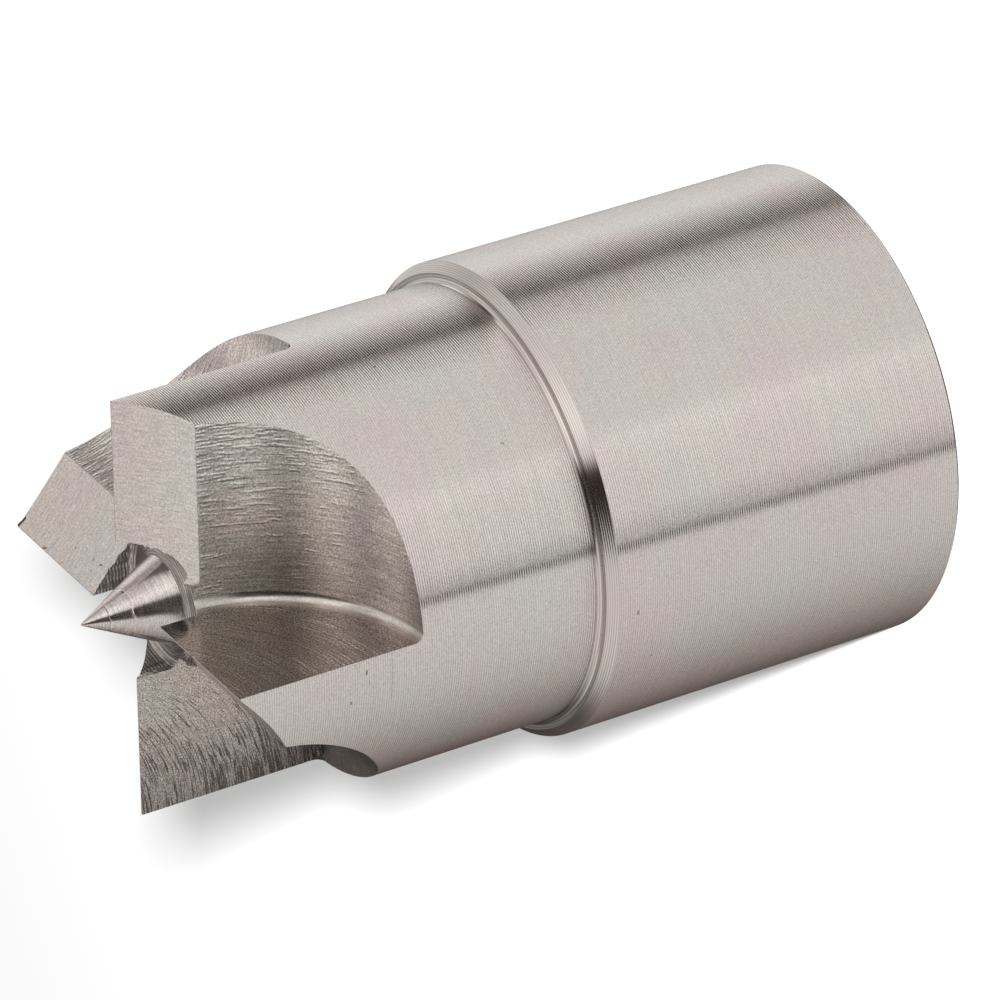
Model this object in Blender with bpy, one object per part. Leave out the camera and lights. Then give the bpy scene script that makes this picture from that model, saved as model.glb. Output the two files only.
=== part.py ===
"""Four-prong drive centre for a wood lathe, turned and milled from one bar of bright steel.

The centre screws onto the lathe's spindle nose. Its point finds the middle of the blank,
and its four prongs bite into the end grain and turn it. The frame has its origin in the
middle of the rear face, with +Z along the axis towards the prongs.
"""

import math

import bmesh
import bpy
from mathutils import Matrix, Vector

MM = 0.001

# Barrel, gripped by hand or with a bar when the centre is screwed on.
BARREL_DIAMETER = 40.0 * MM
BARREL_LENGTH = 33.35 * MM
BARREL_FRONT_CHAMFER = 0.8 * MM
BARREL_REAR_CHAMFER = 0.3 * MM

# Nose, the slightly thinner cylinder that the prongs are milled from.
NOSE_DIAMETER = 36.8 * MM
NOSE_LENGTH = 32.75 * MM
SHOULDER_FILLET = 0.45 * MM

# Centre point and the annular recess turned round it.
POINT_STAND_OUT = 4.0 * MM
POINT_TIP_DIAMETER = 0.2 * MM
POINT_ANGLE = math.radians(53.0)
POINT_ROOT_DEPTH = 3.25 * MM
RECESS_DIAMETER = 11.6 * MM
RECESS_DEPTH = 3.7 * MM
RECESS_CORNER_RADIUS = 0.7 * MM

# Prongs. Each has a driving face beside the axis and a bevel down its back.
PRONG_COUNT = 4
DRIVING_FACE_OFFSET = 1.43 * MM
BEVEL_ANGLE = math.radians(35.7)
BEVEL_INNER_END = 3.0 * MM
BEVEL_CORNER_RADIUS = 0.7 * MM
CHISEL_LAND = 0.1 * MM

# End mill that clears the pocket between two prongs, its axis square to the driving face.
MILL_DIAMETER = 29.4 * MM
MILL_CORNER_RADIUS = 0.8 * MM
MILL_CENTRE_RADIUS = 19.07 * MM
MILL_CENTRE_DEPTH = 1.8 * MM

# Socket for the spindle nose: a plain register at the mouth, then the threaded bore.
REGISTER_DIAMETER = 25.6 * MM
REGISTER_DEPTH = 4.0 * MM
REGISTER_CHAMFER = 0.6 * MM
THREAD_BORE_DIAMETER = 22.4 * MM
SOCKET_DEPTH = 22.0 * MM
DRILL_POINT_ANGLE = math.radians(118.0)

# Facets round a full turn, and along each small corner.
TURNED_FACETS = 120
MILL_FACETS = 120
CORNER_STEPS = 4

# Rounds of the sum that finds where the bevel meets the milled back. It settles at once.
FOOT_STEPS = 8

# How far a cutting tool reaches past the metal that it removes.
TOOL_CLEARANCE = 4.0 * MM

STEEL_COLOUR = (0.56, 0.53, 0.51, 1.0)
STEEL_ROUGHNESS = 0.32


def chisel_height() -> float:
    """Height of the prongs' chisel edges above the rear face."""
    return BARREL_LENGTH + NOSE_LENGTH


def arc(centre: tuple, radius: float, start: float, end: float) -> list:
    """Points (r, z) along a small corner from one angle to the other, both ends included."""
    steps = range(CORNER_STEPS + 1)
    angles = [start + (end - start) * step / CORNER_STEPS for step in steps]
    return [(centre[0] + radius * math.cos(a), centre[1] + radius * math.sin(a)) for a in angles]


def turned_profile() -> list:
    """Half section (r, z) of the turned blank, from the point's tip round to the socket's end."""
    chisel = chisel_height()
    barrel = BARREL_DIAMETER / 2
    nose = NOSE_DIAMETER / 2
    recess = RECESS_DIAMETER / 2
    register = REGISTER_DIAMETER / 2
    bore = THREAD_BORE_DIAMETER / 2
    tip = POINT_TIP_DIAMETER / 2
    point_root = tip + (POINT_STAND_OUT + POINT_ROOT_DEPTH) * math.tan(POINT_ANGLE / 2)
    recess_corner = (recess - RECESS_CORNER_RADIUS, chisel - RECESS_DEPTH + RECESS_CORNER_RADIUS)
    shoulder_corner = (nose + SHOULDER_FILLET, BARREL_LENGTH + SHOULDER_FILLET)
    drill_point = bore / math.tan(DRILL_POINT_ANGLE / 2)
    return [
        (0.0, chisel + POINT_STAND_OUT),
        (tip, chisel + POINT_STAND_OUT),
        (point_root, chisel - POINT_ROOT_DEPTH),
        *arc(recess_corner, RECESS_CORNER_RADIUS, -math.pi / 2, 0.0),
        (recess, chisel),
        (nose, chisel),
        *arc(shoulder_corner, SHOULDER_FILLET, math.pi, 1.5 * math.pi),
        (barrel - BARREL_FRONT_CHAMFER, BARREL_LENGTH),
        (barrel, BARREL_LENGTH - BARREL_FRONT_CHAMFER),
        (barrel, BARREL_REAR_CHAMFER),
        (barrel - BARREL_REAR_CHAMFER, 0.0),
        (register + REGISTER_CHAMFER, 0.0),
        (register, REGISTER_CHAMFER),
        (register, REGISTER_DEPTH),
        (bore, REGISTER_DEPTH),
        (bore, SOCKET_DEPTH),
        (0.0, SOCKET_DEPTH + drill_point),
    ]


def mill_profile(length: float) -> list:
    """Half section (r, z) of the end mill: end face at z = 0, rounded corner, side, far end."""
    radius = MILL_DIAMETER / 2
    corner = (radius - MILL_CORNER_RADIUS, MILL_CORNER_RADIUS)
    return [
        (0.0, 0.0),
        *arc(corner, MILL_CORNER_RADIUS, -math.pi / 2, 0.0),
        (radius, length),
        (0.0, length),
    ]


def revolve(name: str, profile: list, facets: int) -> bpy.types.Object:
    """Makes a closed solid by turning a half section once round the Z axis."""
    mesh = bpy.data.meshes.new(name)
    shape = bmesh.new()
    points = [shape.verts.new((r, 0.0, z)) for r, z in profile]
    edges = [shape.edges.new(pair) for pair in zip(points, points[1:])]
    bmesh.ops.spin(
        shape,
        geom=points + edges,
        cent=(0.0, 0.0, 0.0),
        axis=(0.0, 0.0, 1.0),
        angle=2 * math.pi,
        steps=facets,
        use_merge=True,
    )
    bmesh.ops.remove_doubles(shape, verts=shape.verts, dist=0.001 * MM)
    bmesh.ops.recalc_face_normals(shape, faces=shape.faces)
    shape.to_mesh(mesh)
    shape.free()
    solid = bpy.data.objects.new(name, mesh)
    bpy.context.collection.objects.link(solid)
    return solid


def extrude_outline(name: str, outline: list, height: float) -> bpy.types.Object:
    """Makes a prism from a closed outline of (x, y, z) points, extruded along +Z."""
    mesh = bpy.data.meshes.new(name)
    shape = bmesh.new()
    face = shape.faces.new([shape.verts.new(point) for point in outline])
    grown = bmesh.ops.extrude_face_region(shape, geom=[face])
    moved = [item for item in grown["geom"] if isinstance(item, bmesh.types.BMVert)]
    bmesh.ops.translate(shape, verts=moved, vec=(0.0, 0.0, height))
    bmesh.ops.recalc_face_normals(shape, faces=shape.faces)
    shape.to_mesh(mesh)
    shape.free()
    solid = bpy.data.objects.new(name, mesh)
    bpy.context.collection.objects.link(solid)
    return solid


def pocket_mill(prong: int) -> bpy.types.Object:
    """The end mill in its pocket, its end face cutting the driving face of this prong."""
    reach = NOSE_DIAMETER / 2 - DRIVING_FACE_OFFSET + TOOL_CLEARANCE
    mill = revolve(f"pocket_mill_{prong + 1}", mill_profile(reach), MILL_FACETS)
    place = Vector((MILL_CENTRE_RADIUS, DRIVING_FACE_OFFSET, chisel_height() - MILL_CENTRE_DEPTH))
    along_y = Matrix.Rotation(-math.pi / 2, 4, "X")
    mill.matrix_world = prong_turn(prong) @ Matrix.Translation(place) @ along_y
    return mill


def wall_inset(depth: float) -> float:
    """How far behind the axis plane a prong's milled back stands, this far below its chisel."""
    return MILL_CENTRE_RADIUS - math.sqrt((MILL_DIAMETER / 2) ** 2 - (depth - MILL_CENTRE_DEPTH) ** 2)


def bevel_foot() -> float:
    """Where the bevel runs out at the prong's milled back, measured behind the axis plane."""
    edge = DRIVING_FACE_OFFSET - CHISEL_LAND
    foot = wall_inset(MILL_CENTRE_DEPTH)
    for _ in range(FOOT_STEPS):
        foot = wall_inset((edge + foot) * math.tan(BEVEL_ANGLE))
    return foot


def bevel_tool(prong: int) -> bpy.types.Object:
    """The tool that slopes a prong's back down from its chisel edge, round at its inner foot."""
    edge = DRIVING_FACE_OFFSET - CHISEL_LAND
    foot = -bevel_foot()
    outer = NOSE_DIAMETER / 2 + TOOL_CLEARANCE
    corner = (BEVEL_INNER_END + BEVEL_CORNER_RADIUS, foot + BEVEL_CORNER_RADIUS)
    plan = [
        (outer, edge + TOOL_CLEARANCE),
        (BEVEL_INNER_END, edge + TOOL_CLEARANCE),
        *arc(corner, BEVEL_CORNER_RADIUS, math.pi, 1.5 * math.pi),
        (corner[0], foot - BEVEL_CORNER_RADIUS),
        (outer, foot - BEVEL_CORNER_RADIUS),
    ]
    slope = math.tan(BEVEL_ANGLE)
    outline = [(x, y, chisel_height() - (edge - y) * slope) for x, y in plan]
    tool = extrude_outline(f"bevel_tool_{prong + 1}", outline, NOSE_LENGTH)
    tool.matrix_world = prong_turn(prong)
    return tool


def prong_turn(prong: int) -> Matrix:
    """Turns the first prong, which lies along +X, to where this one stands."""
    return Matrix.Rotation(2 * math.pi * prong / PRONG_COUNT, 4, "Z")


def cut(solid: bpy.types.Object, tool: bpy.types.Object) -> None:
    """Removes the tool's shape from the solid, and keeps the tool as a hidden guide."""
    tool.hide_render = True
    tool.display_type = "WIRE"
    modifier = solid.modifiers.new(tool.name, "BOOLEAN")
    modifier.operation = "DIFFERENCE"
    modifier.solver = "EXACT"
    modifier.object = tool


def bright_steel() -> bpy.types.Material:
    """Turned and milled steel, left bright."""
    material = bpy.data.materials.new("bright_steel")
    material.use_nodes = True
    shader = material.node_tree.nodes["Principled BSDF"]
    shader.inputs["Base Color"].default_value = STEEL_COLOUR
    shader.inputs["Metallic"].default_value = 1.0
    shader.inputs["Roughness"].default_value = STEEL_ROUGHNESS
    return material


def drive_centre() -> bpy.types.Object:
    """Turns the blank, mills the pockets between the prongs, then bevels each prong's back."""
    centre = revolve("drive_centre", turned_profile(), TURNED_FACETS)
    for prong in range(PRONG_COUNT):
        cut(centre, pocket_mill(prong))
    for prong in range(PRONG_COUNT):
        cut(centre, bevel_tool(prong))
    centre.data.materials.append(bright_steel())
    centre.data.shade_smooth()
    centre.data.set_sharp_from_angle(angle=math.radians(20.0))
    return centre


def main() -> None:
    """Clears the scene and builds the part."""
    for existing in list(bpy.data.objects):
        bpy.data.objects.remove(existing)
    drive_centre()


main()
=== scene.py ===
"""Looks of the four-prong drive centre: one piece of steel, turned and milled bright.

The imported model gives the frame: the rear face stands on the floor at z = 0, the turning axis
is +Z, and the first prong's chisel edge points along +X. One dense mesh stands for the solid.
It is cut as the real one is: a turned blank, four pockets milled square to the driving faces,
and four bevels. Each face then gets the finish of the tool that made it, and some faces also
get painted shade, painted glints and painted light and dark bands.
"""

from __future__ import annotations

import logging
import math
from dataclasses import dataclass, field
from enum import IntEnum
from functools import partial, reduce

import bpy
import numpy as np
from mathutils import Matrix, Vector

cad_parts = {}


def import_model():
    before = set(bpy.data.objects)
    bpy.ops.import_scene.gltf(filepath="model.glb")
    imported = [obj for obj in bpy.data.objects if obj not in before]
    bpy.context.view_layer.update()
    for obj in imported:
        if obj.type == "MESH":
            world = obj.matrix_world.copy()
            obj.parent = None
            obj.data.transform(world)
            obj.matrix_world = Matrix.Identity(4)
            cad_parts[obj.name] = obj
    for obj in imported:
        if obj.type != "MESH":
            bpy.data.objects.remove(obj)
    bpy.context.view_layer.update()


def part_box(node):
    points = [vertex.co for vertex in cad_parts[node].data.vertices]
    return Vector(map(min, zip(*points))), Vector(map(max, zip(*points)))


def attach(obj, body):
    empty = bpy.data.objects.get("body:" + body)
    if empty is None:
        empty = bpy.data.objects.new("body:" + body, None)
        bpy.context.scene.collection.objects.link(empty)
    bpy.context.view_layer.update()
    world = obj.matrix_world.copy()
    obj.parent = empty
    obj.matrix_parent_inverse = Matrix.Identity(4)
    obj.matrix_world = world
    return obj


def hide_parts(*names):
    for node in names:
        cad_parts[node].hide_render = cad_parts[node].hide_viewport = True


LOG = logging.getLogger("drive_centre")

MM = 0.001
CAD_NODE = "drive_centre"
BODY = "root"
MARKS_MAP = "tool_marks"

# Millimetres of the tool-mark map that one radian round the axis takes.
TURN_SCALE = 10.0

# Painted light and shade in broad bands across the end mill's path, set where the walls catch and lose the
# light, in millimetres and radians.
PAINTED_BAND_PERIOD = 6.3
PAINTED_BAND_PHASE = 0.12

# Painted glints: the bright dashes lie this far beside the dark ones, in millimetres of the tool-mark map.
BRIGHT_DASH_SHIFT = (-0.16, 0.02, 0.0)

# Cells of specks to the metre and a speck's shade, grain to the metre, and the tint's strength.
PIT_DENSITY = 1000.0
PIT_SHADE = 0.35
GRAIN_SCALE = 7000.0
TINT_STRENGTH = 0.8

Array = np.ndarray
Socket = bpy.types.NodeSocket
Tree = bpy.types.NodeTree
FLOAT, VECTOR, COLOUR = "NodeSocketFloat", "NodeSocketVector", "NodeSocketColor"


class Region(IntEnum):
    """The surfaces that different tools leave, in the order of the mesh's material slots."""

    TURNED = 0
    SHOULDER = 1
    POINT = 2
    RECESS = 3
    MILLED_WALL = 4
    MILLED_CORNER = 5
    DRIVING_FACE = 6
    BEVEL = 7
    SOCKET = 8
    TORN_FACE = 9


@dataclass(frozen=True)
class Sizes:
    """Sizes of the drive centre in metres. The length and the barrel come from the frame."""

    length: float
    barrel_radius: float
    barrel_length: float = 33.35 * MM
    front_chamfer: float = 0.8 * MM
    rear_chamfer: float = 0.3 * MM
    nose_radius: float = 18.4 * MM
    shoulder_fillet: float = 0.45 * MM
    point_stand_out: float = 4.0 * MM
    point_tip_radius: float = 0.1 * MM
    point_half_angle: float = math.radians(26.5)
    point_root_depth: float = 3.25 * MM
    recess_radius: float = 5.8 * MM
    recess_depth: float = 3.7 * MM
    recess_corner: float = 0.7 * MM
    prongs: int = 4
    driving_offset: float = 1.43 * MM
    bevel_angle: float = math.radians(35.7)
    bevel_inner_end: float = 3.0 * MM
    bevel_corner: float = 0.7 * MM
    bevel_hollow: float = 0.32 * MM
    chisel_land: float = 0.1 * MM
    mill_radius: float = 14.7 * MM
    mill_corner: float = 0.8 * MM
    mill_centre_radius: float = 19.07 * MM
    mill_centre_depth: float = 1.8 * MM
    register_radius: float = 12.8 * MM
    register_depth: float = 4.0 * MM
    register_chamfer: float = 0.6 * MM
    bore_radius: float = 11.2 * MM
    thread_depth: float = 1.35 * MM
    thread_pitch: float = 25.4 * MM / 8
    socket_depth: float = 22.0 * MM
    drill_half_angle: float = math.radians(59.0)
    foot_rounds: int = 8

    @property
    def chisel(self) -> float:
        """Height of the prongs' chisel edges."""
        return self.length - self.point_stand_out

    @property
    def edge(self) -> float:
        """Distance of the bevel's upper edge past the axis plane."""
        return self.driving_offset - self.chisel_land

    @property
    def mill_height(self) -> float:
        """Height of the end mill's axis."""
        return self.chisel - self.mill_centre_depth

    @property
    def point_root(self) -> float:
        """Radius of the point where it runs into the recess."""
        length = self.point_stand_out + self.point_root_depth
        return self.point_tip_radius + length * math.tan(self.point_half_angle)

    @property
    def drill_end(self) -> float:
        """Height of the drilled end of the socket."""
        return self.socket_depth + self.bore_radius / math.tan(self.drill_half_angle)

    @property
    def bevel_foot(self) -> float:
        """Distance behind the axis plane at which the bevel meets the milled back.

        Returns:
            The distance, found by putting it into its own formula until it settles.
        """
        foot = self.mill_centre_radius - self.mill_radius
        for _ in range(self.foot_rounds):
            drop = (self.edge + foot) * math.tan(self.bevel_angle) - self.mill_centre_depth
            foot = self.mill_centre_radius - math.sqrt(self.mill_radius**2 - drop**2)
        return foot

    def bevel_height(self, across: Array) -> tuple[Array, Array]:
        """The hollow-ground bevel: a slope with a shallow parabola taken out of it.

        z = chisel - (edge - y) tan(angle) - 4 hollow t (1 - t), where t runs from 0 at the
        chisel edge to 1 at the foot.

        Args:
            across: Distances y past the axis plane.

        Returns:
            The height there, and its slope dz/dy.
        """
        width = self.edge + self.bevel_foot
        share = np.clip((self.edge - across) / width, 0.0, 1.0)
        height = self.chisel - (self.edge - across) * math.tan(self.bevel_angle)
        height = height - 4.0 * self.bevel_hollow * share * (1.0 - share)
        slope = math.tan(self.bevel_angle) + 4.0 * self.bevel_hollow * (1.0 - 2.0 * share) / width
        return height, slope


def smooth_noise(angle: Array, seed: int, waves: int) -> Array:
    """A repeatable wandering value round the axis, as a sum of waves with random phases.

    Args:
        angle: Angles round the axis, in radians.
        seed: Chooses the phases.
        waves: How many whole waves a turn the finest part has.

    Returns:
        Values of about -1 to 1, the same at angle 0 and at a full turn.
    """
    rng = np.random.default_rng(seed)
    counts = np.arange(1, waves + 1)
    phases = rng.uniform(0.0, 2.0 * math.pi, waves)
    weights = rng.uniform(0.3, 1.0, waves)
    parts = weights * np.sin(angle[..., None] * counts + phases)
    return parts.sum(axis=-1) / math.sqrt(weights @ weights / 2.0) / 2.0


@dataclass
class TurnedBlank:
    """The blank as it leaves the lathe, prongs not yet cut, with its threaded socket.

    Every section is a pair of arrays, radius and height, over rings along the profile (rows)
    and angles round the axis (columns). A surface point is (r cos a, r sin a, z).
    """

    sizes: Sizes
    facets: int = 288
    groove_pitch: float = 0.3 * MM
    groove_depth: float = 0.06 * MM
    burr: float = 0.26 * MM
    burrs: tuple = ((76.0, 26.0), (196.0, 12.0), (346.0, 9.0))
    burr_reach: float = 1.2 * MM
    edge_break: float = 0.1 * MM
    tip_burr: float = 0.3 * MM
    tip_burr_angle: float = 94.4
    tip_burr_spread: float = 1.1
    scribed_rings: tuple = (2.05 * MM, 3.75 * MM)
    scribed_depth: float = 0.06 * MM
    scribed_width: float = 0.05 * MM
    thread_rings: int = 110
    angles: Array = field(init=False)

    def __post_init__(self) -> None:
        """Spreads the columns evenly round the axis."""
        self.angles = np.arange(self.facets) * (2.0 * math.pi / self.facets)

    def straight(self, start: tuple, end: tuple, rings: int) -> tuple[Array, Array]:
        """Rings along a straight line of the profile, its last point left out.

        Args:
            start: Radius and height where the line starts.
            end: Radius and height where it ends.
            rings: How many rings it gets.

        Returns:
            Radius and height, rings by angles.
        """
        share = np.arange(rings)[:, None] / rings + np.zeros(self.facets)
        return start[0] + (end[0] - start[0]) * share, start[1] + (end[1] - start[1]) * share

    def rounded(
        self, centre: tuple, radius: float, start: float, end: float, rings: int
    ) -> tuple[Array, Array]:
        """Rings along an arc of the profile, centre + radius (cos t, sin t), last point left out."""
        turn = start + (end - start) * np.arange(rings)[:, None] / rings + np.zeros(self.facets)
        return centre[0] + radius * np.cos(turn), centre[1] + radius * np.sin(turn)

    def point(self) -> list:
        """The point's flat tip and its cone, with the scribed rings as narrow hollows.

        Returns:
            The section, in a list.
        """
        s = self.sizes
        tip = (s.point_tip_radius, s.length)
        radius, height = self.straight(tip, (s.point_root, s.chisel - s.point_root_depth), 96)
        below = s.length - height
        scribed = sum(np.exp(-(((below - at) / self.scribed_width) ** 2)) for at in self.scribed_rings)
        return [(radius - self.scribed_depth * scribed, height)]

    def recess(self) -> list:
        """The recess round the point: turned rings stand up from its floor, corner and wall.

        The plain section is pushed inwards by a cusped ripple, depth (1 - |sin(pi s / pitch)|),
        where s is the distance along the section, and the wall by an uneven burr near the rim.

        Returns:
            The section, in a list.
        """
        s = self.sizes
        floor = s.chisel - s.recess_depth
        corner = (s.recess_radius - s.recess_corner, floor + s.recess_corner)
        quarter = math.pi / 2.0
        along = [
            self.straight((s.point_root, s.chisel - s.point_root_depth), (corner[0], floor), 26),
            self.rounded(corner, s.recess_corner, -quarter, 0.0, 16),
            self.straight((s.recess_radius, corner[1]), (s.recess_radius, s.chisel), 44),
        ]
        radius = np.concatenate([part[0] for part in along])
        height = np.concatenate([part[1] for part in along])
        step = np.hypot(np.diff(radius[:, 0]), np.diff(height[:, 0]))
        distance = np.concatenate([[0.0], np.cumsum(step)])[:, None]
        wander = 0.25 * smooth_noise(self.angles, 5, 3)
        ripple = self.groove_depth * (
            1.0 - np.abs(np.sin(math.pi * (distance / self.groove_pitch + wander)))
        )
        ripple *= np.clip(distance / self.groove_pitch, 0.0, 1.0)
        on_wall = np.clip((height - floor) / s.recess_corner, 0.0, 1.0)
        rim = self.torn_rim(height) * on_wall
        return [(radius - ripple * on_wall - rim, height + ripple * (1.0 - on_wall))]

    def torn_rim(self, height: Array) -> Array:
        """How far torn metal leans in over the recess: ragged near the prongs in burrs.

        The field is burr * window(angle) * (3 noise(angle) + noise(angle + bent height) + 0.6) / 4.

        Args:
            height: Heights of the recess's points, rings by angles.

        Returns:
            The lean of each point, in metres.
        """
        degrees = np.degrees(self.angles)
        window = np.zeros(self.facets)
        for middle, spread in self.burrs:
            off_middle = (degrees - middle + 180.0) % 360.0 - 180.0
            window += np.exp(-((off_middle / spread) ** 2))
        bend = 0.35 * np.sin(height / (0.45 * MM)) + height / (1.6 * MM)
        upright = smooth_noise(self.angles + np.zeros_like(height), 11, 40)
        slanted = smooth_noise(self.angles + bend, 12, 30)
        return self.burr * window * np.clip(0.75 * upright + 0.25 * slanted + 0.15, -0.6, 1.0)

    def outside(self) -> list:
        """The top land, the nose, the shoulder, the barrel and the rear face.

        Returns:
            The sections in turn.
        """
        s = self.sizes
        quarter = math.pi / 2.0
        shoulder = s.barrel_length + s.shoulder_fillet
        chamfer = s.barrel_radius - s.front_chamfer
        front = s.barrel_length - s.front_chamfer
        turn_out = s.nose_radius + s.shoulder_fillet
        mouth = s.register_radius + s.register_chamfer
        rear = s.barrel_radius - s.rear_chamfer
        return [
            self.straight((s.recess_radius, s.chisel), (s.nose_radius - self.edge_break, s.chisel), 4),
            self.burred_edge(),
            self.straight((s.nose_radius, s.chisel - self.burr_reach), (s.nose_radius, shoulder), 20),
            self.rounded((turn_out, shoulder), s.shoulder_fillet, math.pi, 3.0 * quarter, 8),
            self.straight((turn_out, s.barrel_length), (chamfer, s.barrel_length), 2),
            self.straight((chamfer, s.barrel_length), (s.barrel_radius, front), 3),
            self.straight((s.barrel_radius, front), (s.barrel_radius, s.rear_chamfer), 12),
            self.straight((s.barrel_radius, s.rear_chamfer), (rear, 0.0), 1),
            self.straight((rear, 0.0), (mouth, 0.0), 4),
            self.straight((mouth, 0.0), (s.register_radius, s.register_chamfer), 1),
        ]

    def burred_edge(self) -> tuple[Array, Array]:
        """The nose's top edge, with a small burr left on one prong's tip.

        The radius grows by size * exp(-(angle off the tip / spread)^2) * exp(-(drop / reach)^2).
        The edge itself is broken by a quarter round: break - sqrt(break^2 - (break - drop)^2).

        Returns:
            The section.
        """
        s = self.sizes
        low = s.chisel - self.burr_reach
        radius, height = self.straight((s.nose_radius, s.chisel), (s.nose_radius, low), 16)
        short = np.clip(self.edge_break - (s.chisel - height), 0.0, self.edge_break)
        radius = radius - (self.edge_break - np.sqrt(self.edge_break**2 - short**2))
        off_tip = np.degrees(self.angles) - self.tip_burr_angle
        bump = np.exp(-((off_tip / self.tip_burr_spread) ** 2))
        fade = np.exp(-(((s.chisel - height) / (0.35 * self.burr_reach)) ** 2))
        return radius + self.tip_burr * bump * fade, height

    def socket(self) -> list:
        """The register, the step, the thread and the drilled end of the spindle socket.

        The thread is cut outwards from the bore. Its depth over the pitch is a flattened
        triangle wave of (z / pitch - turn), faded out where the thread starts and ends.

        Returns:
            The sections in turn.
        """
        s = self.sizes
        start = s.register_depth
        end = s.socket_depth - s.thread_pitch
        plain = [
            self.straight((s.register_radius, s.register_chamfer), (s.register_radius, start), 4),
            self.straight((s.register_radius, start), (s.bore_radius, start), 2),
        ]
        height = np.linspace(start, end, self.thread_rings)[:, None] + np.zeros(self.facets)
        phase = (height / s.thread_pitch - self.angles / (2.0 * math.pi)) % 1.0
        groove = np.clip(1.25 - 3.0 * np.abs(phase - 0.5), 0.0, 1.0)
        fade = np.clip((height - start) / (0.4 * s.thread_pitch), 0.0, 1.0)
        fade *= np.clip((end - height) / (0.5 * s.thread_pitch), 0.0, 1.0)
        thread = (s.bore_radius + s.thread_depth * groove * fade, height)
        return [
            *plain,
            thread,
            self.straight((s.bore_radius, end), (s.bore_radius, s.socket_depth), 3),
            self.straight((s.bore_radius, s.socket_depth), (0.0, s.drill_end), 6),
        ]

    def build(self) -> bpy.types.Object:
        """Joins the sections into one closed surface of rings between two poles.

        Returns:
            The blank.
        """
        sections = [*self.point(), *self.recess(), *self.outside(), *self.socket()]
        radius = np.concatenate([part[0] for part in sections])
        height = np.concatenate([part[1] for part in sections])
        poles = (self.sizes.length, self.sizes.drill_end)
        return revolved(CAD_NODE + "_steel", radius, height, self.angles, poles)


def revolved(
    name: str, radius: Array, height: Array, angles: Array, poles: tuple
) -> bpy.types.Object:
    """A closed surface of revolution: point (i, j) is (r cos a_j, r sin a_j, z) for ring i.

    Args:
        name: The object's name.
        radius: Radii, rings by angles, from the top pole down to the last ring.
        height: Heights, in the same shape.
        angles: The columns' angles.
        poles: Heights of the axis points that close the first and the last ring.

    Returns:
        The object, its faces pointing out of the solid.
    """
    rings, columns = radius.shape
    grid = np.stack([radius * np.cos(angles), radius * np.sin(angles), height], axis=-1)
    ends = np.array([[0.0, 0.0, poles[0]], [0.0, 0.0, poles[1]]])
    points = np.concatenate([grid.reshape(-1, 3), ends])
    row = np.arange(rings - 1)[:, None] * columns
    this, after = np.arange(columns), (np.arange(columns) + 1) % columns
    quads = np.stack([row + this, row + columns + this, row + columns + after, row + after], -1)
    first, last = rings * columns, rings * columns + 1
    bottom = (rings - 1) * columns
    top_fan = np.stack([np.full(columns, first), this, after], -1)
    end_fan = np.stack([np.full(columns, last), bottom + after, bottom + this], -1)
    faces = [*quads.reshape(-1, 4).tolist(), *top_fan.tolist(), *end_fan.tolist()]
    return linked(name, points, faces)


def linked(name: str, points: Array, faces: list) -> bpy.types.Object:
    """Makes an object of these points and faces and puts it in the scene.

    Args:
        name: The name of the object and its mesh.
        points: Points, one row each.
        faces: The numbers of each face's points.

    Returns:
        The object.
    """
    mesh = bpy.data.meshes.new(name)
    mesh.from_pydata(points.tolist(), [], faces)
    made = bpy.data.objects.new(name, mesh)
    bpy.context.scene.collection.objects.link(made)
    return made


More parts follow.
